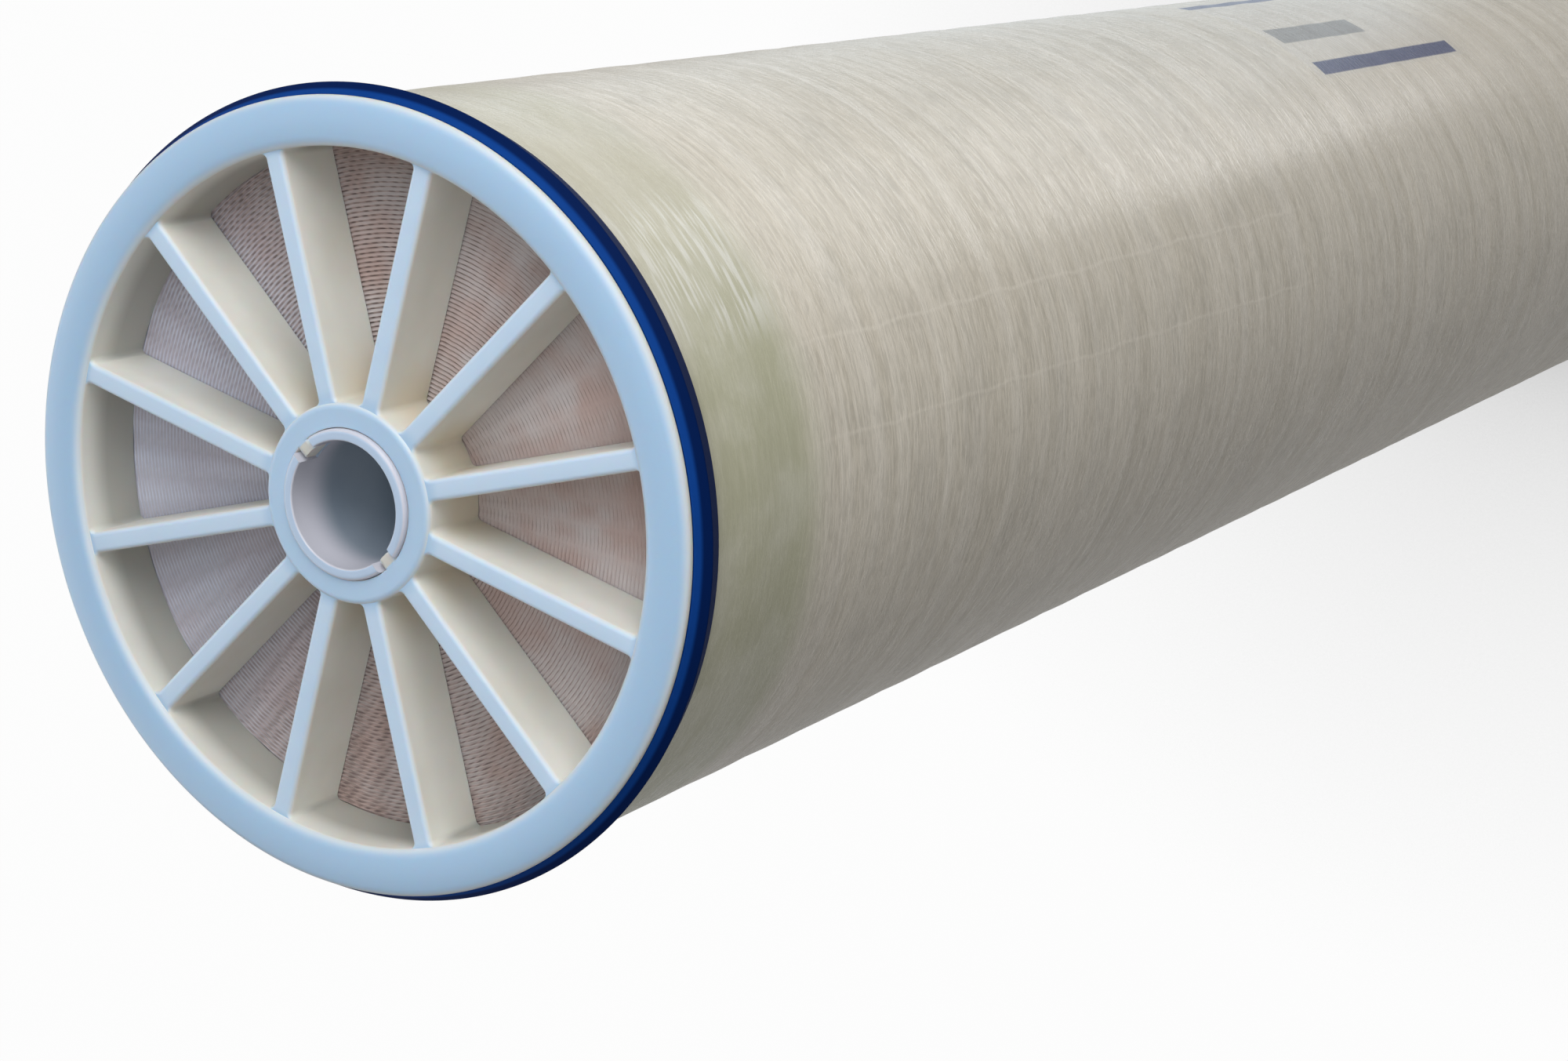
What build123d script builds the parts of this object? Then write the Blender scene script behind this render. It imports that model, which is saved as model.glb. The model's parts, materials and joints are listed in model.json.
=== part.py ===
"""Spiral-wound reverse osmosis element of the 8 inch class, standing on its brine end.

Millimetres, +Z along the element's axis. The lower rim face lies on z = 0 and the
feed end, which carries the lip seal, is uppermost.
"""
import os

from build123d import *

# Driving dimensions
element_length = 1016.0
rim_radius = 100.3
tube_radius = 19.05
bond_line = 0.1
sliding_clearance = 0.15

# Rim of an end cap, front to back: flange, seal groove, shoulder under the wrap
rim_lip = 3.2
rim_bevel = 2.4
groove_width = 11.3
groove_depth = 8.5
groove_web = 3.8
shoulder_length = 7.5

# Spokes, hub and keys of an end cap
spoke_count = 12
spoke_width = 5.5
spoke_recess = 2.3
spoke_bury = 2.0
hub_wall = 6.2
hub_recess = 1.5
key_width = 4.8
key_depth = 5.0
key_clearance = 0.8

# Lip seal
seal_clearance = 0.2
seal_proud = 2.8
seal_crest_depth = 4.0
seal_heel_rise = 1.6
seal_leg_thickness = 2.6
seal_floor = 5.4

# Permeate tube
tube_recess = 0.2
tube_bevel = 0.7
mouth_wall = 2.85
mouth_step = 1.9
mouth_depth = 30.0
hole_radius = 1.8
hole_count = 2
hole_turn = 180.0
cut_margin = 1.0

# Turns of the roll, shown as a spiral groove in each end face
half_turn_count = 6
turn_width = 3.0
turn_depth = 1.8

# Fibreglass wrap
wrap_step = 1.5
wrap_wall = 2.6

# Sizes that follow from the ones above
groove_back = rim_lip + groove_width
cap_depth = groove_back + shoulder_length
groove_radius = rim_radius - groove_depth
window_radius = groove_radius - groove_web
wrap_radius = rim_radius - wrap_step
shoulder_radius = wrap_radius - wrap_wall - bond_line
hub_bore_radius = tube_radius + sliding_clearance
hub_radius = hub_bore_radius + hub_wall
mouth_radius = tube_radius - mouth_wall
feed_end = Plane((0, 0, element_length), x_dir=(1, 0, 0), z_dir=(0, 0, 1))
brine_end = Plane((0, 0, 0), x_dir=(1, 0, 0), z_dir=(0, 0, -1))

os.makedirs("parts", exist_ok=True)


def side_plane(end):
    """Plane through the axis at one end: x is the radius, -y the depth."""
    return Plane(end.origin, x_dir=end.x_dir, z_dir=-end.y_dir)


def end_axis(end):
    """The element's axis, pointing out of one end."""
    return Axis(end.origin, end.z_dir)


def end_cap(end, seal_groove):
    """Spoked wheel that holds the roll's end, with a shoulder under the wrap and two keys."""
    plain_back = [(rim_radius, -groove_back)]
    grooved_back = [(rim_radius, -rim_lip), (groove_radius, -rim_lip), (groove_radius, -groove_back)]
    rim_back = grooved_back if seal_groove else plain_back
    with BuildPart() as cap:
        with BuildSketch(side_plane(end)):
            with BuildLine():
                Polyline(
                    (window_radius, 0),
                    (rim_radius - rim_bevel, 0),
                    (rim_radius, -rim_bevel),
                    *rim_back,
                    (shoulder_radius, -groove_back),
                    (shoulder_radius, -cap_depth),
                    (window_radius, -cap_depth),
                    close=True,
                )
            make_face()
        revolve(axis=end_axis(end))

        with BuildSketch(end.offset(-hub_recess)):
            Circle(hub_radius)
            Circle(hub_bore_radius, mode=Mode.SUBTRACT)
        extrude(amount=-(cap_depth - hub_recess))

        hub_middle = hub_bore_radius + hub_wall / 2
        spoke_end = window_radius + spoke_bury
        with BuildSketch(end.offset(-spoke_recess)):
            with PolarLocations((hub_middle + spoke_end) / 2, spoke_count):
                Rectangle(spoke_end - hub_middle, spoke_width)
        extrude(amount=-(cap_depth - spoke_recess))

        with BuildSketch(end.offset(-hub_recess)):
            with PolarLocations((mouth_radius + hub_middle) / 2, 2):
                Rectangle(hub_middle - mouth_radius, key_width)
        extrude(amount=-key_depth)
    return cap.part


feed_end_cap = end_cap(feed_end, seal_groove=True)
feed_end_cap.label = "feed_end_cap"
export_step(feed_end_cap, "parts/feed_end_cap.step")

brine_end_cap = end_cap(brine_end, seal_groove=False)
brine_end_cap.label = "brine_end_cap"
export_step(brine_end_cap, "parts/brine_end_cap.step")


with BuildPart() as brine_seal:
    seal_front = rim_lip + seal_clearance
    seal_back = groove_back - seal_clearance
    seal_inner_radius = groove_radius + bond_line
    with BuildSketch(side_plane(feed_end)):
        with BuildLine():
            Polyline(
                (seal_inner_radius, -seal_front),
                (seal_inner_radius, -seal_back),
                (wrap_radius + seal_heel_rise, -seal_back),
                (rim_radius + seal_proud, -seal_front - seal_crest_depth),
                (rim_radius, -seal_front),
                (seal_inner_radius + seal_leg_thickness, -seal_back + seal_floor),
                close=True,
            )
        make_face()
    revolve(axis=end_axis(feed_end))
    brine_seal.part.label = "brine_seal"
    export_step(brine_seal.part, "parts/brine_seal.step")


with BuildPart() as permeate_tube:
    with BuildSketch(Plane.XY.offset(tube_recess)):
        Circle(tube_radius)
        Circle(mouth_radius - mouth_step, mode=Mode.SUBTRACT)
    extrude(amount=element_length - 2 * tube_recess)
    tube_edges = permeate_tube.edges().filter_by(GeomType.CIRCLE).group_by(SortBy.RADIUS)[-1]
    chamfer(tube_edges, tube_bevel)
    for end in (feed_end, brine_end):
        with BuildSketch(end.offset(-tube_recess)):
            Circle(mouth_radius)
        extrude(amount=-mouth_depth, mode=Mode.SUBTRACT)
        notch_length = mouth_wall + 2 * cut_margin
        with BuildSketch(end.offset(-tube_recess)):
            with PolarLocations(tube_radius - mouth_wall / 2, 2):
                Rectangle(notch_length, key_width + 2 * key_clearance)
        extrude(amount=-(hub_recess + key_depth - tube_recess + key_clearance), mode=Mode.SUBTRACT)
    hole_step = (element_length - 2 * cap_depth) / hole_count
    for station in range(hole_count):
        height = cap_depth + (station + 0.5) * hole_step
        drill = Plane((0, 0, height), z_dir=Vector(1, 0, 0).rotate(Axis.Z, station * hole_turn))
        with BuildSketch(drill):
            Circle(hole_radius)
        extrude(amount=tube_radius + cut_margin, mode=Mode.SUBTRACT)
    permeate_tube.part.label = "permeate_tube"
    export_step(permeate_tube.part, "parts/permeate_tube.step")


with BuildPart() as membrane_roll:
    with BuildSketch(Plane.XY.offset(cap_depth)):
        Circle(shoulder_radius)
        Circle(tube_radius + bond_line, mode=Mode.SUBTRACT)
    extrude(amount=element_length - 2 * cap_depth)
    half_pitch = (window_radius - hub_radius) / half_turn_count
    for end in (feed_end, brine_end):
        face_height = (end.origin - end.z_dir * cap_depth).Z
        groove_height = face_height - end.z_dir.Z * turn_depth
        for half_turn in range(half_turn_count):
            side = 1 if half_turn % 2 == 0 else -1
            centre = -side * half_pitch / 2
            place = centre + side * (hub_radius + (half_turn + 0.5) * half_pitch)
            with BuildSketch(Plane.XZ):
                with BuildLine():
                    Polyline(
                        (place - turn_width / 2, face_height),
                        (place, groove_height),
                        (place + turn_width / 2, face_height),
                        close=True,
                    )
                make_face()
            revolve(axis=Axis((centre, 0, 0), (0, 0, 1)), revolution_arc=180, mode=Mode.SUBTRACT)
    membrane_roll.part.label = "membrane_roll"
    export_step(membrane_roll.part, "parts/membrane_roll.step")


with BuildPart() as outer_wrap:
    with BuildSketch(Plane.XY.offset(groove_back)):
        Circle(wrap_radius)
        Circle(wrap_radius - wrap_wall, mode=Mode.SUBTRACT)
    extrude(amount=element_length - 2 * groove_back)
    outer_wrap.part.label = "outer_wrap"
    export_step(outer_wrap.part, "parts/outer_wrap.step")
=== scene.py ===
"""Looks of a spiral-wound reverse osmosis element that stands on its brine end.

Metres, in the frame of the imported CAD: the axis is Z and the feed end is uppermost.
"""
import json
import math

import bmesh
import bpy
import numpy as np
from mathutils import Matrix, Vector


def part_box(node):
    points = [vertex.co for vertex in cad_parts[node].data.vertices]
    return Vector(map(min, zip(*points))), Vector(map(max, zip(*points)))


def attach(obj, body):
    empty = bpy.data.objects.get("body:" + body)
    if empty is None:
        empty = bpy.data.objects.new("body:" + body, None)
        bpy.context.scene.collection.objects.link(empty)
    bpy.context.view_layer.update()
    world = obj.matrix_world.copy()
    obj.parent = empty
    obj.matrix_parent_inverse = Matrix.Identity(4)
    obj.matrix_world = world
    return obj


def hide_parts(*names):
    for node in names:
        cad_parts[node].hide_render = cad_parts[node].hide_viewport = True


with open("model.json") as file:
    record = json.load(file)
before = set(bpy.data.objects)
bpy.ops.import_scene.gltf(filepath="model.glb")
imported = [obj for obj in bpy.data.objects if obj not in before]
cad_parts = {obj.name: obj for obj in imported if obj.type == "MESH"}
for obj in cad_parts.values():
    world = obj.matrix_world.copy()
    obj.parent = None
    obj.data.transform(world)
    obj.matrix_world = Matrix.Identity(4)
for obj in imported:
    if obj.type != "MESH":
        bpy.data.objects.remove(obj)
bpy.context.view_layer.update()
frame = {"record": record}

# Permeate tube: a thick white plastic pipe on the axis, turned out at both mouths for
# the tube connectors and sawn with two notches at each end, which take the caps' keys.
MM = 0.001
mounts = {mount["name"]: mount for mount in frame["record"]["mounts"]}
tube_low, tube_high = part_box("permeate_tube")
tube_radius = tube_high[0]
mouth_radius = mounts["feed_tube_mouth"]["dims"]["r_mm"] * MM
mouth_depth = mounts["feed_tube_mouth"]["dims"]["length_mm"] * MM
mouth_step = 1.9 * MM
mouth_taper = 4.0 * MM
bore_radius = mouth_radius - mouth_step
tube_edge = 1.1 * MM
mouth_edge = 0.5 * MM
notch_half_width = 3.2 * MM
notch_depth = 7.1 * MM
notch_columns = 7
wall_columns = 49
edge_angle = 35
tube_white = (0.57, 0.565, 0.625)
# Painted cool light on the pipe's cut ends
ring_cool_light = (0.43, 0.535, 0.68)
# Painted shade down the bore: its grey, how far past the mouth's wall it ends, and the depths over which it
# grows
bore_shade_grey = (0.25, 0.30, 0.355)
shade_ends_past_wall = (0.2 * MM, 0.6 * MM)
shade_grows_at_depth = (6.6 * MM, 16.5 * MM)


def rounded(corners, steps=6, guard=0.3 * MM):
    """Closed outline from corners (x, y, radius): each corner becomes a circular arc that
    touches both its sides, with a guard point just outside the arc to keep the sides flat."""
    places = np.array([corner[:2] for corner in corners], dtype=float)
    outline = []
    for index, (x, y, radius) in enumerate(corners):
        corner = np.array((x, y), dtype=float)
        if radius <= 0:
            outline.append(corner[None])
            continue
        before = places[index - 1] - corner
        after = places[(index + 1) % len(corners)] - corner
        before = before / np.linalg.norm(before)
        after = after / np.linalg.norm(after)
        half_angle = 0.5 * np.arccos(np.clip(before @ after, -1, 1))
        reach = radius / np.tan(half_angle)
        bisector = (before + after) / np.linalg.norm(before + after)
        centre = corner + bisector * radius / np.sin(half_angle)
        first = corner + before * reach - centre
        last = corner + after * reach - centre
        sweep = np.pi - 2 * half_angle
        share = np.linspace(0, 1, steps + 1)[:, None]
        arc = centre + (np.sin((1 - share) * sweep) * first + np.sin(share * sweep) * last) / np.sin(sweep)
        guards = corner + before * (reach + guard), corner + after * (reach + guard)
        outline.append(np.vstack([guards[0][None], arc, guards[1][None]]))
    return np.vstack(outline)


def grid_faces(rows, columns, close_rows):
    """Quads between the neighbours of a grid of points. Its columns go round, and so do its
    rows where they are closed."""
    i, j = np.meshgrid(np.arange(rows if close_rows else rows - 1), np.arange(columns), indexing="ij")
    next_i = (i + 1) % rows
    next_j = (j + 1) % columns
    corners = [i * columns + j, i * columns + next_j, next_i * columns + next_j, next_i * columns + j]
    return np.stack(corners, axis=-1).reshape(-1, 4)


def closed_surface(points, ring=True):
    """Grid of points closed both ways, or drawn to a point at both ends where it is no ring,
    with its faces turned outwards by the sign of its volume."""
    rows, columns = points.shape[:2]
    points = points.reshape(-1, 3)
    faces = grid_faces(rows, columns, close_rows=ring)
    corner = points[faces]
    halves = np.cross(corner[:, 0], corner[:, 1]) * corner[:, 2]
    halves = halves + np.cross(corner[:, 0], corner[:, 2]) * corner[:, 3]
    return points, faces if halves.sum() > 0 else faces[:, ::-1]


def turned(outline, sides):
    """An outline of radius and height carried round the axis: (r cos t, r sin t, h)."""
    turn = np.linspace(0, 2 * np.pi, sides, endpoint=False)
    radius, height = outline[:, :1], outline[:, 1:]
    return closed_surface(
        np.stack([radius * np.cos(turn), radius * np.sin(turn), height + 0 * turn], axis=-1)
    )


def smooth_mesh(name, surfaces, sharp_degrees=edge_angle):
    """One welded mesh from several surfaces, smooth except where its faces meet sharply."""
    starts = np.cumsum([0] + [len(points) for points, faces in surfaces])
    points = np.concatenate([points for points, faces in surfaces])
    faces = np.concatenate([faces + start for (_, faces), start in zip(surfaces, starts)])
    mesh = bpy.data.meshes.new(name)
    mesh.vertices.add(len(points))
    mesh.vertices.foreach_set("co", points.astype(np.float32).ravel())
    mesh.loops.add(faces.size)
    mesh.loops.foreach_set("vertex_index", faces.astype(np.int32).ravel())
    mesh.polygons.add(len(faces))
    mesh.polygons.foreach_set("loop_start", np.arange(0, faces.size, 4, dtype=np.int32))
    mesh.update(calc_edges=True)
    weld_distance = 1e-6
    welded = bmesh.new()
    welded.from_mesh(mesh)
    bmesh.ops.remove_doubles(welded, verts=welded.verts, dist=weld_distance)
    bmesh.ops.dissolve_degenerate(welded, edges=welded.edges, dist=weld_distance)
    welded.to_mesh(mesh)
    welded.free()
    mesh.polygons.foreach_set("use_smooth", np.ones(len(mesh.polygons), dtype=bool))
    mesh.set_sharp_from_angle(angle=math.radians(sharp_degrees))
    return mesh


def make_piece(name, surfaces, node, material, sharp_degrees=edge_angle):
    """A piece in its finish that rides with the element in place of a CAD node."""
    mesh = smooth_mesh(name, surfaces, sharp_degrees)
    mesh.materials.append(material)
    piece = bpy.data.objects.new(name, mesh)
    bpy.context.scene.collection.objects.link(piece)
    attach(piece, "root")
    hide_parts(node)
    return piece


class Finish:
    """A node material: its shader, and short ways to add the nodes of a procedural pattern.

    A value is a socket or a plain number, and a colour a socket or three numbers.
    """

    def __init__(self, name, roughness, specular=0.5):
        self.material = bpy.data.materials.new(name)
        self.material.use_nodes = True
        self.tree = self.material.node_tree
        self.shader = self.tree.nodes["Principled BSDF"]
        self.shader.inputs["Roughness"].default_value = roughness
        self.shader.inputs["Specular IOR Level"].default_value = specular
        coordinates = self.tree.nodes.new("ShaderNodeTexCoord")
        self.place = coordinates.outputs["Object"]
        self.facing = coordinates.outputs["Normal"]
        parts = self.tree.nodes.new("ShaderNodeSeparateXYZ")
        self.tree.links.new(self.place, parts.inputs[0])
        self.x, self.y, self.height = parts.outputs

    def wire(self, socket, value):
        """Link a socket, or set a plain number or colour on it."""
        if isinstance(value, bpy.types.NodeSocket):
            self.tree.links.new(value, socket)
        elif hasattr(value, "__len__") and len(socket.default_value) == 4:
            socket.default_value = (*value, 1.0)
        else:
            socket.default_value = value

    def math(self, operation, *values):
        """One Math node."""
        node = self.tree.nodes.new("ShaderNodeMath")
        node.operation = operation
        for socket, value in zip(node.inputs, values):
            self.wire(socket, value)
        return node.outputs[0]

    def add(self, first, *others):
        """Sum of two or more values."""
        for other in others:
            first = self.math("ADD", first, other)
        return first

    def times(self, first, *others):
        """Product of two or more values."""
        for other in others:
            first = self.math("MULTIPLY", first, other)
        return first

    def minus(self, first, second):
        """First value less the second."""
        return self.math("SUBTRACT", first, second)

    def mix(self, share, first, second):
        """From the first colour to the second."""
        node = self.tree.nodes.new("ShaderNodeMix")
        node.data_type = "RGBA"
        self.wire(node.inputs[0], share)
        self.wire(node.inputs[6], first)
        self.wire(node.inputs[7], second)
        return node.outputs[2]

    def step(self, value, low, high):
        """0 below low and 1 above high, smooth between."""
        node = self.tree.nodes.new("ShaderNodeMapRange")
        node.interpolation_type = "SMOOTHSTEP"
        self.wire(node.inputs["Value"], value)
        node.inputs["From Min"].default_value = low
        node.inputs["From Max"].default_value = high
        return node.outputs[0]

    def below(self, value, low, high):
        """1 below low and 0 above high, smooth between."""
        return self.minus(1.0, self.step(value, low, high))

    def band(self, value, low, high, soft):
        """1 between low and high and 0 outside, with soft edges."""
        rise = self.step(value, low - soft, low + soft)
        return self.times(rise, self.below(value, high - soft, high + soft))

    def vector(self, x, y, z):
        """A vector from three values."""
        node = self.tree.nodes.new("ShaderNodeCombineXYZ")
        for socket, value in zip(node.inputs, (x, y, z)):
            self.wire(socket, value)
        return node.outputs[0]

    def noise(self, vector, scale=1.0, detail=2.0, roughness=0.5):
        """Value of a noise pattern, about 0.5 on average."""
        node = self.tree.nodes.new("ShaderNodeTexNoise")
        self.wire(node.inputs["Vector"], vector)
        node.inputs["Scale"].default_value = scale
        node.inputs["Detail"].default_value = detail
        node.inputs["Roughness"].default_value = roughness
        return node.outputs[0]

    def radius(self):
        """Distance from the element's axis."""
        return self.math("SQRT", self.add(self.times(self.x, self.x), self.times(self.y, self.y)))

    def turn(self):
        """Angle round the element's axis in radians, from -pi to pi."""
        return self.math("ARCTAN2", self.y, self.x)

    def from_middle(self, middle):
        """Distance along the axis from a middle height, the same towards both ends."""
        return self.math("ABSOLUTE", self.minus(self.height, middle))

    def towards_end(self):
        """1 where the surface faces an end of the element, and 0 on walls along the axis."""
        parts = self.tree.nodes.new("ShaderNodeSeparateXYZ")
        self.wire(parts.inputs[0], self.facing)
        return self.math("ABSOLUTE", parts.outputs["Z"])

    def bump(self, height, strength, distance):
        """Small relief on the shader's normal."""
        node = self.tree.nodes.new("ShaderNodeBump")
        node.inputs["Strength"].default_value = strength
        node.inputs["Distance"].default_value = distance
        self.wire(node.inputs["Height"], height)
        self.tree.links.new(node.outputs[0], self.shader.inputs["Normal"])

    def colour(self, value):
        """Base colour of the shader."""
        self.wire(self.shader.inputs["Base Color"], value)


def tube_finish():
    """White pipe, bluish with painted cool light on its cut ends, and greyer down the bore with painted
    shade, mottled by noise.
    """
    finish = Finish("tube_white_plastic", roughness=0.38)
    past_wall_from, past_wall_to = shade_ends_past_wall
    shallow, deep = shade_grows_at_depth
    half_length = 0.5 * (tube_high[2] - tube_low[2])
    from_middle = finish.from_middle(0.5 * (tube_low[2] + tube_high[2]))
    # Painted shade: the bore greys with depth, unevenly by noise
    inside = finish.below(finish.radius(), mouth_radius + past_wall_from, mouth_radius + past_wall_to)
    down_the_bore = finish.below(from_middle, half_length - deep, half_length - shallow)
    shade_mottle = finish.noise(finish.place, scale=60.0, detail=3.0)
    shade = finish.times(inside, down_the_bore, finish.add(0.75, finish.times(shade_mottle, 0.4)))
    # Painted cool light on the faces that look towards the element's ends
    cool_lit_white = finish.mix(finish.step(finish.towards_end(), 0.75, 0.99), tube_white, ring_cool_light)
    finish.colour(finish.mix(shade, cool_lit_white, bore_shade_grey))
    turning_marks = finish.noise(finish.vector(0.0, 0.0, finish.height), scale=2200.0, detail=1.0)
    finish.bump(turning_marks, strength=0.08, distance=0.2 * MM)
    return finish.material


def tube_surface():
    """The pipe's outline carried round the axis. In the notches the angle is asin(offset / r),
    which gives parallel sides, and the height is held between the floors of the notches."""
    top, foot = tube_high[2], tube_low[2]
    bore_top = top - mouth_depth - mouth_taper
    bore_foot = foot + mouth_depth + mouth_taper
    outline = rounded([
        (tube_radius, foot, tube_edge), (tube_radius, top, tube_edge),
        (mouth_radius, top, mouth_edge), (mouth_radius, top - mouth_depth, 0),
        (bore_radius, bore_top, 0), (bore_radius, bore_foot, 0),
        (mouth_radius, foot + mouth_depth, 0), (mouth_radius, foot, mouth_edge),
    ], steps=5)
    radius, height = outline[:, :1], outline[:, 1:]
    notch_angle = np.arcsin(notch_half_width / radius)
    across = np.linspace(-1, 1, notch_columns)
    along = np.linspace(0, 1, wall_columns)
    in_notch = np.arcsin(across * notch_half_width / radius)
    on_wall = notch_angle + along * (np.pi - 2 * notch_angle)
    low = np.clip(height + 0 * across, foot + notch_depth, top - notch_depth)
    full = height + 0 * along
    angle = np.hstack([in_notch, on_wall, in_notch + np.pi, on_wall + np.pi])
    heights = np.hstack([low, full, low, full])
    return closed_surface(np.stack([radius * np.cos(angle), radius * np.sin(angle), heights], axis=-1))


make_piece("permeate_pipe", [tube_surface()], "permeate_tube", tube_finish())


# Membrane roll: leaves of membrane, feed spacer net and permeate cloth wound together on
# the tube. Only the cut edges show, as fine spiral lines between the spokes of the caps.
roll_low, roll_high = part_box("membrane_roll")
roll_radius = roll_high[0]
bond_line = 0.1 * MM
roll_bore = tube_radius + bond_line
roll_margin = 0.5 * MM
leaf_pitch = 1.15 * MM
leaf_count = 18
leaf_relief = 0.7 * MM
seen_from = 24 * MM
seen_to = 90 * MM
samples_per_pitch = 3
roll_sides = 240
roll_edge_angle = 80
leaf_pink = (0.42, 0.315, 0.285)
leaf_pale = (0.475, 0.425, 0.415)
# Painted cool light on one side of the roll
leaf_cool_light = (0.56, 0.63, 0.79)
# Painted shade: brown lines between the rows and dark dashes in the gaps
row_crease_shade = (0.30, 0.215, 0.19)
gap_shade = (0.085, 0.06, 0.056)
gap_in_row = (0.08, 0.40)
gap_in_dash = (0.16, 0.68)
dash_length = 3.3 * MM
dash_shift_per_row = 0.43
# Side towards which, and opposite which, the painted gap shade is strongest
gap_shade_side = math.radians(-36.6)
# Side of the roll that carries the painted cool light
cool_lit_side = math.radians(47)


def roll_surface():
    """End faces and walls of the roll. At radius r and angle t the end face sinks by
    relief * (0.5 + 0.5 cos(2 pi (r / pitch + leaves * t / 2 pi))), a spiral of many starts."""
    fine = np.arange(seen_from, seen_to, leaf_pitch / samples_per_pitch)
    across = np.concatenate([[roll_bore], fine, [roll_radius - roll_margin, roll_radius]])
    turn = np.linspace(0, 2 * np.pi, roll_sides, endpoint=False)
    phase = across[:, None] / leaf_pitch + leaf_count * turn / (2 * np.pi)
    shown = ((across > seen_from) & (across < seen_to))[:, None]
    sink = leaf_relief * (0.5 + 0.5 * np.cos(2 * np.pi * phase)) * shown
    ring = np.stack([across[:, None] * np.cos(turn), across[:, None] * np.sin(turn)], axis=-1)
    top = np.concatenate([ring, (roll_high[2] - sink)[..., None]], axis=-1)
    foot = np.concatenate([ring, (roll_low[2] + sink)[..., None]], axis=-1)
    return closed_surface(np.concatenate([foot, top[::-1]]))


def roll_finish():
    """Pale edges of the leaves in rows, with a row of dark dashes between each two, where the spacer net
    leaves gaps: painted shade in the gaps, and brown painted shade between the rows, strongest on two
    opposite sides as the light falls. The row is r / pitch + leaves * t / 2 pi, and the dashes run along
    r * t, shifted row by row."""
    finish = Finish("wound_leaf_edges", roughness=0.7, specular=0.25)
    add, times, minus = finish.add, finish.times, finish.minus
    radius = finish.radius()
    turn = finish.turn()
    row = add(finish.math("DIVIDE", radius, leaf_pitch), times(turn, leaf_count / (2 * math.pi)))
    row_index = finish.math("FLOOR", row)
    along = finish.math("DIVIDE", times(turn, radius), dash_length)
    wander = finish.noise(finish.vector(times(turn, 9.0), row_index, 0.0), detail=1.0)
    shift = add(times(row_index, dash_shift_per_row), times(wander, 1.6))
    # Painted shade in the gaps between rows, strongest on two opposite sides, as light falls across the
    # rows
    between_rows = finish.band(finish.math("FRACT", row), *gap_in_row, soft=0.10)
    between_dashes = finish.band(finish.math("FRACT", add(along, shift)), *gap_in_dash, soft=0.14)
    shade_factor = add(0.55, times(finish.math("COSINE", times(minus(turn, gap_shade_side), 2.0)), 0.45))
    gap = times(between_rows, times(shade_factor, add(0.35, times(shade_factor, 0.65))), between_dashes)
    gap_shade_depth = add(0.45, times(finish.step(wander, 0.3, 0.7), 0.5))
    blotch = finish.noise(finish.place, scale=42.0, detail=3.0, roughness=0.6)
    # Painted cool light on one side of the roll's end
    cool_light_share = finish.step(finish.math("COSINE", minus(turn, cool_lit_side)), 0.2, 1.0)
    ground = finish.mix(finish.step(blotch, 0.35, 0.65), leaf_pink, leaf_pale)
    ground = finish.mix(times(cool_light_share, 0.6), ground, leaf_cool_light)
    # Painted shade: brown lines between the rows
    ground = finish.mix(times(between_rows, add(0.35, times(shade_factor, 0.4))), ground, row_crease_shade)
    finish.colour(finish.mix(times(gap, gap_shade_depth), ground, gap_shade))
    finish.bump(minus(times(blotch, 0.3), gap), strength=0.35, distance=0.3 * MM)
    return finish.material


make_piece("wound_roll", [roll_surface()], "membrane_roll", roll_finish(), roll_edge_angle)


# End caps: spoked wheels moulded in one piece of milky white plastic. The rim's shoulder
# is bonded under the wrap, the hub slides on the tube and two keys sit in its notches.
cap_low, cap_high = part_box("feed_end_cap")
rim_radius = cap_high[0]
cap_depth = cap_high[2] - cap_low[2]
element_top = cap_high[2]
rim_lip = 3.2 * MM
groove_back = 14.5 * MM
groove_depth = 8.5 * MM
groove_web = 3.8 * MM
groove_radius = rim_radius - groove_depth
window_radius = groove_radius - groove_web
shoulder_radius = roll_radius
rim_crown = 1.1 * MM
crown_steps = 13
crown_margin = 0.4 * MM
rim_round = 1.9 * MM
window_round = 2.2 * MM
lip_round = 0.3 * MM
band_round = 0.4 * MM
rim_sides = 288
spoke_count = 12
spoke_width = 5.5 * MM
spoke_recess = 2.3 * MM
spoke_round = 1.3 * MM
spoke_guard = 0.4 * MM
spoke_bury = 2.0 * MM
end_point_depth = 5.0 * MM
foot_lift = 0.05 * MM
root_round = 1.5 * MM
root_steps = 9
edge_steps = 7
hub_clearance = 0.15 * MM
hub_wall = 6.2 * MM
hub_bore = tube_radius + hub_clearance
hub_radius = hub_bore + hub_wall
hub_recess = 1.5 * MM
hub_round = 1.6 * MM
bore_round = 0.4 * MM
hub_sides = 144
key_half_width = 2.4 * MM
key_depth = 5.0 * MM
key_round = 1.6 * MM
key_bury = 1.5 * MM
key_nose = 0.4 * MM
key_nose_share = 0.92
# Painted cool light on what faces the end, paler on the spokes, and painted paler light along the rounded
# edges
face_cool_lit = (0.355, 0.515, 0.69)
face_pale_lit = (0.51, 0.635, 0.77)
edge_highlight = (0.60, 0.665, 0.71)
wall_cream = (0.74, 0.725, 0.655)
wall_ivory = (0.80, 0.79, 0.735)
# Painted shade deep down the walls, warmer near the hub
wall_deep_shade = (0.42, 0.41, 0.37)
wall_honey_shade = (0.64, 0.54, 0.39)
key_cream = (0.60, 0.565, 0.48)
honey_shade_reach = 16 * MM
hub_fade = 4 * MM
rim_fade = 2 * MM
rim_edge = 1 * MM
key_fade = 0.4 * MM
shaded_from = 2 * MM
shaded_to = 14 * MM
light_reach = 3.0 * MM


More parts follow.
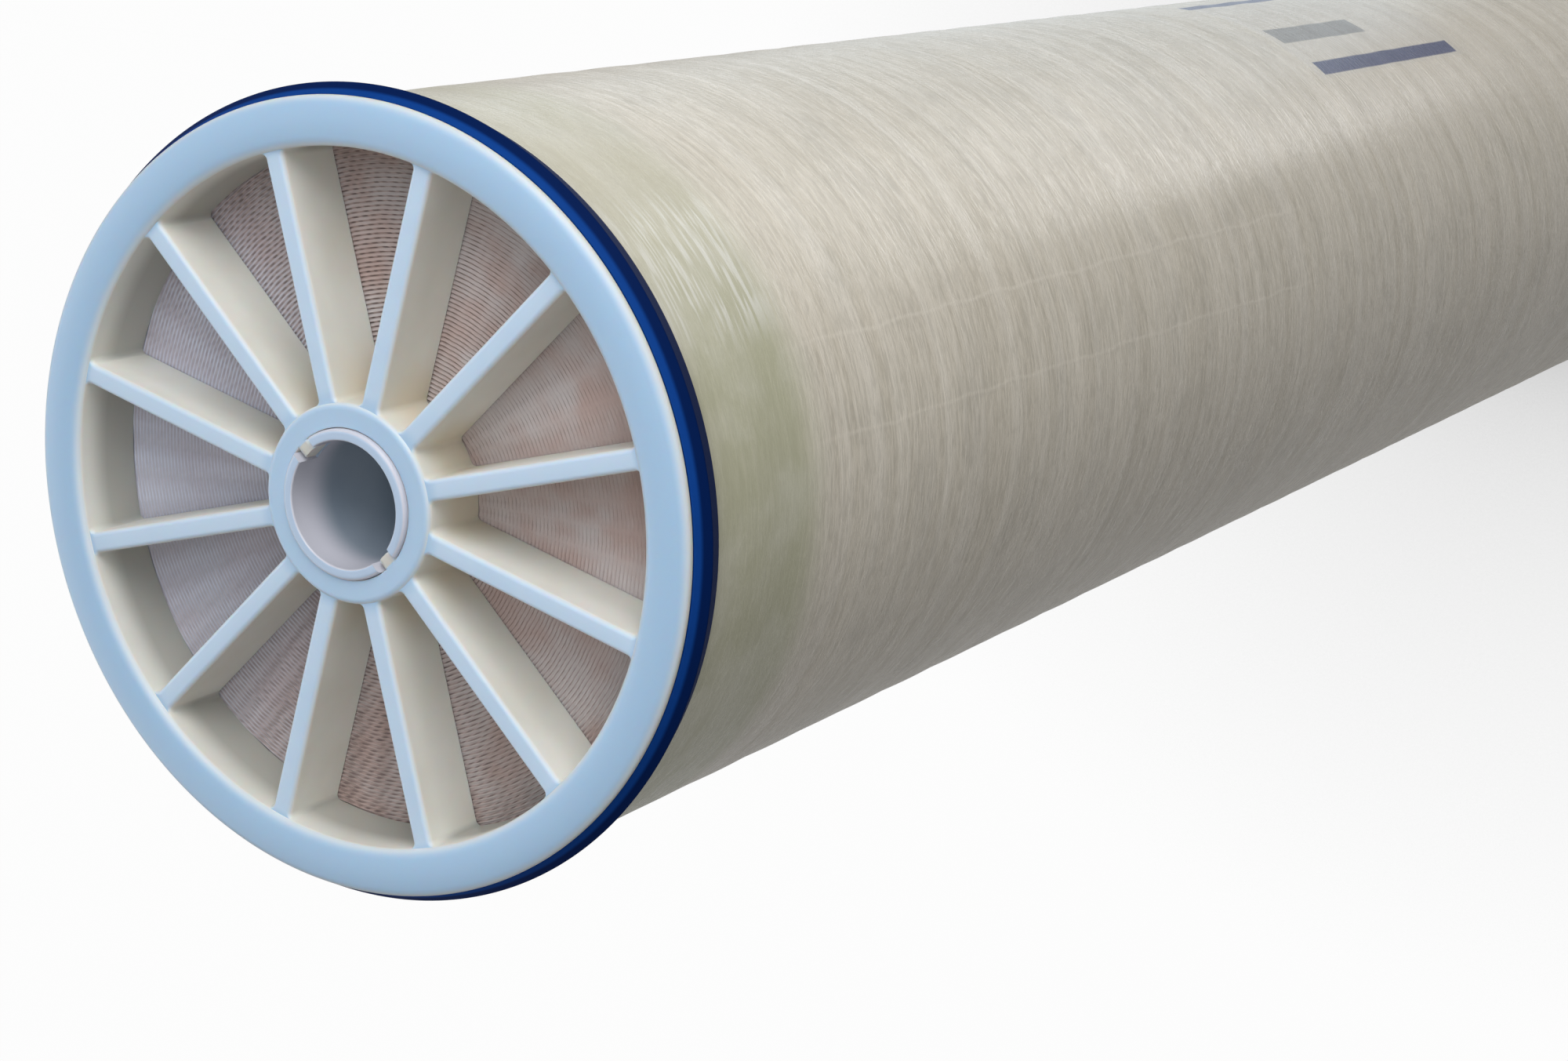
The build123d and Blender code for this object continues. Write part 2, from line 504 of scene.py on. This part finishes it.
def rim_outline(grooved):
    """Section of the rim as radius and depth: a front crowned as the parabola crown * (2 u - 1)^2
    from the window to the outside, rounded edges, and a seal groove or a plain band behind."""
    groove = [(groove_radius, rim_lip, 0), (groove_radius, groove_back, 0)]
    grooved_band = [(rim_radius, rim_lip, lip_round), *groove]
    plain_band = [(rim_radius, groove_back, band_round)]
    section = rounded([
        (window_radius, 0, window_round), (rim_radius, 0, rim_round),
        *(grooved_band if grooved else plain_band),
        (shoulder_radius, groove_back, 0), (shoulder_radius, cap_depth, 0), (window_radius, cap_depth, 0),
    ])
    front_from = window_radius + window_round
    front_to = rim_radius - rim_round
    arc_end = np.argmin(np.abs(section[:, 1]) + np.abs(section[:, 0] - front_from))
    front = np.linspace(front_from + crown_margin, front_to - crown_margin, crown_steps)
    past_guard = arc_end + 2
    section = np.insert(section, past_guard, np.column_stack([front, 0 * front]), axis=0)
    share = (section[:, 0] - window_radius) / (rim_radius - window_radius)
    fade = np.clip(1 - section[:, 1] / rim_lip, 0, 1)
    section[:, 1] += rim_crown * (2 * share - 1) ** 2 * fade
    return section


def hub_outline():
    """Section of the hub as radius and depth."""
    return rounded([
        (hub_bore, hub_recess, bore_round), (hub_radius, hub_recess, hub_round),
        (hub_radius, cap_depth, 0), (hub_bore, cap_depth, 0),
    ])


def swung_bar(along, across, depth, turn):
    """Closed bar from grids of radius, offset and depth, swung round the axis:
    (a cos t - c sin t, a sin t + c cos t, d)."""
    x = along * np.cos(turn) - across * np.sin(turn)
    y = along * np.sin(turn) + across * np.cos(turn)
    return closed_surface(np.stack([x, y, depth], axis=-1), ring=False)


def spoke_surface(turn):
    """A rounded bar from hub to rim: its section is carried along the radius, and its half width
    grows by R - sqrt(R^2 - (R - d)^2) where the distance d from either root is below R. The ends,
    which lie inside hub and rim, are drawn to a point."""
    quarter = np.linspace(0, np.pi / 2, root_steps)
    reach = spoke_width / 2 + root_round
    hub_root = np.sqrt(hub_radius**2 - reach**2)
    rim_root = np.sqrt(window_radius**2 - reach**2)
    near_hub = hub_root + root_round * (1 - np.cos(quarter))
    near_rim = rim_root - root_round * (1 - np.cos(quarter[::-1]))
    start, end = hub_radius - spoke_bury, window_radius + spoke_bury
    along = np.concatenate([[start, start], near_hub, near_rim, [end, end]])
    to_root = np.clip(np.minimum(along - hub_root, rim_root - along), 0, root_round)
    half_width = spoke_width / 2 + root_round - np.sqrt(root_round**2 - (root_round - to_root) ** 2)
    corner = np.linspace(0, np.pi / 2, edge_steps)
    inset = spoke_round * np.concatenate([[0, 0], 1 - np.cos(corner), (1 - np.cos(corner))[::-1], [0, 0]])
    fall = spoke_round * (1 - np.sin(corner))
    guard = spoke_recess + spoke_round + spoke_guard
    foot = cap_depth - foot_lift
    depth = np.concatenate([[foot, guard], spoke_recess + fall, spoke_recess + fall[::-1], [guard, foot]])
    side = np.sign(np.linspace(-1, 1, len(depth)))
    open_end = np.ones((len(along), 1))
    open_end[[0, -1]] = 0
    across = open_end * side * (half_width[:, None] - inset)
    end_point = spoke_recess + end_point_depth
    depth = end_point + open_end * (depth - end_point)
    return swung_bar(along[:, None] + 0 * across, across, depth, turn)


def key_surface(turn):
    """A bar of rounded section that stands in from the hub's bore, carried along the radius
    and drawn in a little at its nose."""
    key_foot = hub_recess + key_depth
    section = rounded([
        (-key_half_width, hub_recess, key_round), (key_half_width, hub_recess, key_round),
        (key_half_width, key_foot, 0), (-key_half_width, key_foot, 0),
    ], steps=4, guard=0.1 * MM)
    middle = section.mean(axis=0)
    inner, outer = mouth_radius, hub_bore + key_bury
    along = np.array([inner, inner, inner + key_nose, outer, outer])[:, None]
    share = np.array([0, key_nose_share, 1, 1, 0])[:, None]
    across = middle[0] + share * (section[:, 0] - middle[0])
    depth = middle[1] + share * (section[:, 1] - middle[1])
    return swung_bar(along + 0 * across, across, depth, turn)


def placed(surface, end_height, inward):
    """A surface whose third coordinate is depth, moved to one end of the element."""
    points, faces = surface
    moved = np.column_stack([points[:, :2], end_height + inward * points[:, 2]])
    return moved, faces if inward > 0 else faces[:, ::-1]


def join_solids(piece, bars_mesh):
    """Unite a piece's mesh with another into one closed skin, and drop what lies inside."""
    bars = bpy.data.objects.new(bars_mesh.name, bars_mesh)
    bpy.context.scene.collection.objects.link(bars)
    union = piece.modifiers.new("join", "BOOLEAN")
    union.operation = "UNION"
    union.solver = "EXACT"
    union.object = bars
    depsgraph = bpy.context.evaluated_depsgraph_get()
    joined = bpy.data.meshes.new_from_object(piece.evaluated_get(depsgraph))
    piece.modifiers.clear()
    piece.data = joined
    bpy.data.objects.remove(bars)
    joined.polygons.foreach_set("use_smooth", np.ones(len(joined.polygons), dtype=bool))
    joined.set_sharp_from_angle(angle=math.radians(edge_angle))


def cap_finish(name):
    """Milky plastic, warm cream down the walls, with painted cool light on what faces the end, a
    painted paler light along the rounded edges, where light comes through, painted shade deep in
    the windows, most by the rim and warm by the hub, and faint flow marks and the fine grain of a mould."""
    finish = Finish(name, roughness=0.42, specular=0.4)
    add, times = finish.add, finish.times
    finish.shader.inputs["Subsurface Weight"].default_value = 0.25
    finish.shader.inputs["Subsurface Scale"].default_value = light_reach
    towards_end = finish.towards_end()
    radius = finish.radius()
    half_length = element_top / 2
    deep = finish.below(finish.from_middle(half_length), half_length - shaded_to, half_length - shaded_from)
    flow = finish.noise(finish.place, scale=38.0, detail=3.0, roughness=0.55)
    near_rim = finish.step(radius, window_radius - rim_fade, window_radius)
    near_hub = finish.below(radius, hub_radius, hub_radius + honey_shade_reach)
    wall = finish.mix(finish.step(flow, 0.3, 0.7), wall_cream, wall_ivory)
    # Painted shade deep in the windows, most by the rim, and warm painted shade by the hub
    wall = finish.mix(times(deep, add(0.1, near_rim)), wall, wall_deep_shade)
    wall = finish.mix(times(deep, near_hub, 0.55), wall, wall_honey_shade)
    # Painted cool light on the faces, paler on the spokes than on rim and hub
    off_hub = finish.step(radius, hub_radius, hub_radius + hub_fade)
    off_rim = finish.below(radius, window_radius - rim_fade, window_radius + rim_edge)
    paleness = times(off_rim, add(0.35, times(off_hub, 0.65)))
    on_keys = finish.below(radius, hub_bore - key_fade, hub_bore)
    face = finish.mix(times(paleness, add(flow, 0.5)), face_cool_lit, face_pale_lit)
    face = finish.mix(times(on_keys, 0.85), face, key_cream)
    # Painted paler light along the rounded edges, then painted cool light on the faces
    edge = finish.mix(finish.step(towards_end, 0.10, 0.60), wall, edge_highlight)
    finish.colour(finish.mix(finish.step(towards_end, 0.60, 0.99), edge, face))
    grain = finish.noise(finish.place, scale=1400.0)
    finish.bump(grain, strength=0.10, distance=0.15 * MM)
    return finish.material


def make_cap(name, node, end_height, inward, grooved):
    """Rim and hub, with spokes and keys joined to them in one skin."""
    spoke_turns = np.arange(spoke_count) * 2 * np.pi / spoke_count
    key_turns = (0, np.pi)
    wheel = [turned(rim_outline(grooved), rim_sides), turned(hub_outline(), hub_sides)]
    bars = [spoke_surface(turn) for turn in spoke_turns] + [key_surface(turn) for turn in key_turns]
    wheel = [placed(surface, end_height, inward) for surface in wheel]
    bars = [placed(surface, end_height, inward) for surface in bars]
    cap = make_piece(name, wheel, node, cap_finish(name + "_plastic"))
    join_solids(cap, smooth_mesh(name + "_bars", bars))


make_cap("feed_cap", "feed_end_cap", element_top, -1, grooved=True)
make_cap("brine_cap", "brine_end_cap", 0.0, 1, grooved=False)


# Outer wrap: glass strands wound over the roll in clear resin, cream where the leaves show
# through and greenish over the shoulder of the feed cap. A paper label lies under the resin.
wrap_low, wrap_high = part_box("outer_wrap")
wrap_radius = wrap_high[0]
wrap_inner = roll_radius + bond_line
wrap_edge = 0.9 * MM
wrap_rows = 420
wrap_sides = 220
plain_end = 3 * MM
band_pitch = 31 * MM
band_relief = 0.22 * MM
resin_cream = (0.675, 0.605, 0.485)
resin_pale = (0.835, 0.765, 0.65)
resin_grey = (0.42, 0.385, 0.315)

# Noise scales of the strands, round the hoop and up the wrap, and how they climb
fine_strands = (165.0, 1000.0)
coarse_strands = (16.0, 520.0)
strand_patches = (3.5, 130.0)
ridge_strands = (60.0, 650.0)
strand_slope = 0.05
cross_slope = 0.02

# Collar over the feed cap's shoulder, paler on its lit side with painted sheen, and with painted glints
# along its ridges
collar_length = 50 * MM
collar_fade = 10 * MM
collar_wander = 8 * MM
collar_green = (0.50, 0.49, 0.335)
collar_pale = (0.59, 0.575, 0.435)
sheen_lit_turns = (math.radians(-92), math.radians(20))
glint_turns = (math.radians(-106), math.radians(-84))
glint_heights = (955 * MM, 998 * MM)
glint_white = (0.84, 0.82, 0.74)

# Seams of the leaves, at turns in degrees. A field of the label is given by its two turns in
# degrees and its two heights in millimetres.
seam_turns = (-109.5, -124.0)
seam_half_width = 0.3
seam_wander = 0.04
seam_heights = (617 * MM, 944 * MM)
label_pale = (0.62, 0.58, 0.53)
label_blue = (0.025, 0.04, 0.14)
label_grey = (0.19, 0.185, 0.18)
label_field = (-84, -46, 368, 528)
label_block = (-71.8, -66.0, 437, 522)
label_bars = [(-83.0, -79.0, 374, 521), (-50.0, -47.0, 445, 528)]


def wrap_surface():
    """Thin tube with rounded ends, whose outer radius falls by relief * (0.5 + 0.5 w), where w is
    sin(2 pi z / pitch + t) * sin(z / pitch - 2 t), the shallow bands that a winding head leaves."""
    heights = np.linspace(wrap_low[2] + plain_end, wrap_high[2] - plain_end, wrap_rows)
    outer = np.column_stack([np.full(wrap_rows, wrap_radius), heights])
    ends = rounded([
        (wrap_radius, wrap_high[2], wrap_edge), (wrap_inner, wrap_high[2], 0),
        (wrap_inner, wrap_low[2], 0), (wrap_radius, wrap_low[2], wrap_edge),
    ], steps=5)
    outline = np.vstack([outer, ends])
    turn = np.linspace(0, 2 * np.pi, wrap_sides, endpoint=False)
    radius, height = outline[:, :1], outline[:, 1:] + 0 * turn
    wave = np.sin(2 * np.pi * height / band_pitch + turn) * np.sin(height / band_pitch - 2 * turn)
    wound = np.concatenate([np.ones(wrap_rows), np.zeros(len(ends))])[:, None]
    radius = radius - wound * band_relief * (0.5 + 0.5 * wave)
    return closed_surface(np.stack([radius * np.cos(turn), radius * np.sin(turn), height], axis=-1))


def wrap_finish():
    """Strands are noise drawn out round the hoop, on two planes tilted opposite ways, so that they
    cross. Under them lie the label, the seams of the leaves and the collar over the cap's shoulder."""
    finish = Finish("wound_glass_resin", roughness=0.3, specular=0.3)
    add, times, minus = finish.add, finish.times, finish.minus
    x, y, height = finish.x, finish.y, finish.height
    turn = finish.turn()

    def strands(climb, scales, detail, roughness=0.6):
        """Noise with one scale round the hoop and another along the climb."""
        round_hoop, upwards = scales
        place = finish.vector(times(x, round_hoop), times(y, round_hoop), times(climb, upwards))
        return finish.noise(place, detail=detail, roughness=roughness)

    def field(low_turn, high_turn, low, high):
        """1 within a rectangle of degrees round the hoop and millimetres of height."""
        round_hoop = finish.band(turn, math.radians(low_turn), math.radians(high_turn), soft=0.004)
        return times(round_hoop, finish.band(height, low * MM, high * MM, soft=0.5 * MM))

    rising = add(height, times(x, strand_slope))
    falling = minus(height, add(times(x, cross_slope), times(y, strand_slope)))
    fine = strands(rising, fine_strands, detail=2.0)
    coarse = strands(falling, coarse_strands, detail=3.0)
    patch = strands(falling, strand_patches, detail=4.0)
    ridge = strands(rising, ridge_strands, detail=1.0, roughness=0.5)
    mottle = finish.noise(finish.place, scale=46.0, detail=4.0, roughness=0.6)
    ground = finish.mix(finish.step(patch, 0.25, 0.75), resin_cream, resin_pale)
    ground = finish.mix(times(finish.step(mottle, 0.45, 0.75), 0.30), ground, resin_grey)

    collar_foot = wrap_high[2] - collar_length
    ragged_height = add(height, times(minus(mottle, 0.5), collar_wander))
    over_cap = finish.step(ragged_height, collar_foot - collar_fade, collar_foot + collar_fade)
    # Painted sheen: the collar's green gives way to the paler wrap on its lit side
    sheen_lit_side = finish.band(turn, *sheen_lit_turns, soft=0.35)
    collar = finish.mix(finish.step(mottle, 0.35, 0.65), collar_green, collar_pale)
    ground = finish.mix(times(over_cap, minus(1.0, times(sheen_lit_side, 0.5))), ground, collar)

    raised = add(times(finish.step(fine, 0.42, 0.64), 0.6), times(finish.step(coarse, 0.45, 0.70), 0.4))
    sunk = add(times(finish.below(fine, 0.36, 0.56), 0.6), times(finish.below(coarse, 0.30, 0.52), 0.4))
    contrast = minus(0.46, times(over_cap, 0.32))
    ground = finish.mix(times(raised, contrast), ground, resin_pale)
    ground = finish.mix(times(sunk, contrast), ground, resin_grey)

    seam_noise = finish.noise(finish.vector(0.0, 0.0, height), scale=40.0, detail=3.0)
    seam_place = add(turn, times(seam_noise, seam_wander))
    seam_edges = [(centre - seam_half_width, centre + seam_half_width) for centre in seam_turns]
    seam = add(*[finish.band(seam_place, *map(math.radians, edges), soft=0.005) for edges in seam_edges])
    seam = times(seam, finish.band(height, *seam_heights, soft=20 * MM))
    ground = finish.mix(times(seam, 0.4), ground, resin_pale)

    ground = finish.mix(times(field(*label_field), 0.3), ground, label_pale)
    ground = finish.mix(times(field(*label_block), 0.85), ground, label_grey)
    for bar in label_bars:
        ground = finish.mix(field(*bar), ground, label_blue)

    glinting = finish.band(turn, *glint_turns, soft=0.07)
    glinting = times(glinting, finish.band(height, *glint_heights, soft=8 * MM))
    glint = times(finish.step(ridge, 0.46, 0.64), glinting, 0.7)
    finish.colour(finish.mix(glint, ground, glint_white))
    finish.wire(finish.shader.inputs["Roughness"], add(0.26, times(sunk, 0.12)))
    relief = times(raised, minus(1.0, times(over_cap, 0.6)))
    finish.bump(add(relief, times(add(seam, mottle), 0.4)), strength=0.22, distance=0.3 * MM)
    return finish.material


make_piece("fibreglass_wrap", [wrap_surface()], "outer_wrap", wrap_finish())


# Brine seal: a moulded ring of blue rubber in the feed cap's groove. Its lip opens towards
# the feed end and presses against the vessel's wall.
seal_low, seal_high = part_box("brine_seal")
seal_inner = groove_radius + bond_line
seal_crest = seal_high[0]
seal_front = element_top - seal_high[2]
seal_back = element_top - seal_low[2]
seal_floor = 5.4 * MM
seal_leg = 2.6 * MM
heel_rise = 1.6 * MM
seal_heel = wrap_radius + heel_rise
crest_setback = 4.0 * MM
crest_depth = seal_front + crest_setback
leg_round = 0.3 * MM
vee_round = 0.5 * MM
lip_edge_round = 0.35 * MM
heel_round = 0.4 * MM
crest_round = 0.5 * MM
# Painted light: the lip's lit edge in bright blue, the rest navy
rubber_lit_blue = (0.005, 0.05, 0.25)
rubber_navy = (0.001, 0.011, 0.068)
lit_blue_until = seal_front + 1.2 * MM
navy_from = seal_front + 2.3 * MM


def seal_outline():
    """Section of the lip seal as radius and depth: a vee with a thick outer lip."""
    return rounded([
        (seal_inner, seal_front, leg_round), (seal_inner + seal_leg, seal_back - seal_floor, vee_round),
        (rim_radius, seal_front, lip_edge_round), (seal_crest, crest_depth, crest_round),
        (seal_heel, seal_back, heel_round), (seal_inner, seal_back, 0),
    ], steps=4, guard=0.15 * MM)


def seal_finish():
    """Bright blue along the lip's edge, painted as the light that falls on it, navy behind it, with the
    dull bloom of moulded rubber.
    """
    finish = Finish("lip_seal_rubber", roughness=0.6, specular=0.03)
    depth = finish.minus(element_top, finish.height)
    bloom = finish.noise(finish.place, scale=130.0, detail=3.0, roughness=0.6)
    # Painted light: bright blue where the lip's edge catches light, navy behind
    blue = finish.mix(finish.times(bloom, 0.25), rubber_lit_blue, rubber_navy)
    finish.colour(finish.mix(finish.step(depth, lit_blue_until, navy_from), blue, rubber_navy))
    finish.bump(finish.noise(finish.place, scale=900.0), strength=0.08, distance=0.2 * MM)
    return finish.material


seal_ring = placed(turned(seal_outline(), rim_sides), element_top, -1)
make_piece("lip_seal", [seal_ring], "brine_seal", seal_finish())


# Studio: a pale floor that shows white and keeps a soft shadow, six soft lamps and a camera
# above the feed end, turned so that the element leans across the picture.
floor_size = 14.0
floor_white = (0.5, 0.5, 0.5)
floor_glow = 0.97
floor_mirrored = 0.28
shadow_reach = 0.4
shadow_rays = 4
world_level = 0.16
plain_white = (1.0, 1.0, 1.0)
soft_white = (0.98, 0.98, 0.98)
cool_white = (0.82, 0.92, 1.0)
sky_white = (0.76, 0.9, 1.0)
picture_width = 2000
sensor_width = 36.0
focal_pixels = 3904
camera_place = Vector((-0.2044, -0.4517, 1.5934))
looks_along = Vector((0.180, 0.514, -0.839))
picture_up = Vector((0.788, -0.585, -0.190))


def white_to_the_eye(tree, lit, white, seen, mirrored):
    """Mix of a lit shader with a white one. The white's share is the largest of what each kind of
    ray gives it: seen for camera rays, and mirrored for glossy and clear ones."""
    rays = tree.nodes.new("ShaderNodeLightPath")
    share = None
    for kind, amount in (("Camera", seen), ("Glossy", mirrored), ("Transmission", mirrored)):
        part = tree.nodes.new("ShaderNodeMath")
        part.operation = "MULTIPLY"
        part.inputs[1].default_value = amount
        tree.links.new(rays.outputs[f"Is {kind} Ray"], part.inputs[0])
        if share is None:
            share = part.outputs[0]
            continue
        larger = tree.nodes.new("ShaderNodeMath")
        larger.operation = "MAXIMUM"
        tree.links.new(share, larger.inputs[0])
        tree.links.new(part.outputs[0], larger.inputs[1])
        share = larger.outputs[0]
    mixed = tree.nodes.new("ShaderNodeMixShader")
    tree.links.new(share, mixed.inputs[0])
    tree.links.new(lit.outputs[0], mixed.inputs[1])
    tree.links.new(white.outputs[0], mixed.inputs[2])
    return mixed.outputs[0]


def make_floor():
    """One large flat sheet under the element. Its glow darkens where the element is near."""
    half = floor_size / 2
    corners = [(-half, -half, 0), (half, -half, 0), (half, half, 0), (-half, half, 0)]
    mesh = bpy.data.meshes.new("floor")
    mesh.from_pydata(corners, [], [(0, 1, 2, 3)])
    material = bpy.data.materials.new("pale_floor")
    material.use_nodes = True
    tree = material.node_tree
    paint = tree.nodes["Principled BSDF"]
    paint.inputs["Base Color"].default_value = (*floor_white, 1.0)
    paint.inputs["Roughness"].default_value = 0.9
    shade_factor = tree.nodes.new("ShaderNodeAmbientOcclusion")
    shade_factor.samples = shadow_rays
    shade_factor.inputs["Distance"].default_value = shadow_reach
    glow = tree.nodes.new("ShaderNodeEmission")
    tree.links.new(shade_factor.outputs["Color"], glow.inputs["Color"])
    surface = white_to_the_eye(tree, paint, glow, seen=floor_glow, mirrored=floor_mirrored)
    tree.links.new(surface, tree.nodes["Material Output"].inputs["Surface"])
    mesh.materials.append(material)
    floor = bpy.data.objects.new("floor", mesh)
    bpy.context.scene.collection.objects.link(floor)


def make_world():
    """Even soft light from all round, white where it is seen."""
    world = bpy.data.worlds.new("studio")
    world.use_nodes = True
    bpy.context.scene.world = world
    tree = world.node_tree
    fill = tree.nodes["Background"]
    fill.inputs["Color"].default_value = (*plain_white, 1.0)
    fill.inputs["Strength"].default_value = world_level
    backdrop = tree.nodes.new("ShaderNodeBackground")
    backdrop.inputs["Color"].default_value = (*plain_white, 1.0)
    surface = white_to_the_eye(tree, fill, backdrop, seen=1.0, mirrored=1.0)
    tree.links.new(surface, tree.nodes["World Output"].inputs["Surface"])


def make_lamp(name, place, size, power, colour=plain_white, aim=None, turn=0):
    """A rectangular soft lamp at a place, turned towards its aim, or without one laid flat,
    shining upwards, with its width along a turn in degrees."""
    lamp = bpy.data.lights.new(name, "AREA")
    lamp.shape = "RECTANGLE"
    lamp.size, lamp.size_y = size
    lamp.energy = power
    lamp.color = colour
    holder = bpy.data.objects.new(name, lamp)
    holder.location = place
    if aim is None:
        holder.rotation_euler = (math.pi, 0, math.radians(turn))
    else:
        holder.rotation_euler = (Vector(aim) - Vector(place)).to_track_quat("-Z", "Y").to_euler()
    holder.visible_camera = False
    bpy.context.scene.collection.objects.link(holder)


def make_camera():
    """The picture's camera: its focal length in pixels, its place and its three axes."""
    lens = bpy.data.cameras.new("camera")
    lens.sensor_width = sensor_width
    lens.lens = focal_pixels * sensor_width / picture_width
    back = -looks_along.normalized()
    right = picture_up.cross(back).normalized()
    up = back.cross(right)
    holder = bpy.data.objects.new("camera", lens)
    holder.matrix_world = Matrix.Translation(camera_place) @ Matrix((right, up, back)).transposed().to_4x4()
    bpy.context.scene.collection.objects.link(holder)
    bpy.context.scene.camera = holder


make_floor()
make_world()
make_lamp("side_lamp", (0.35, -0.9, 1.5), size=(0.7, 0.7), power=8.2, colour=soft_white, aim=(0, 0, 0.95))
make_lamp("end_lamp", (0.35, -0.75, 2.5), size=(1.0, 1.0), power=8.5, colour=cool_white, aim=(0, 0, 1.0))
make_lamp("front_lamp", (-0.42, -0.38, 1.85), size=(0.4, 0.4), power=2.0, aim=(0, 0, 1.0))
make_lamp("back_lamp", (0.65, 1.1, 1.3), size=(1.2, 1.2), power=6.5, aim=(0, 0, 0.6))
make_lamp("sheen_lamp", (0.55, -0.15, 0.02), size=(0.8, 0.7), power=1.1, colour=sky_white)
make_lamp("low_lamp", (0.20, -0.44, 0.02), size=(0.42, 0.22), power=0.8, turn=-19)
make_camera()
bpy.context.scene.view_settings.view_transform = "Standard"
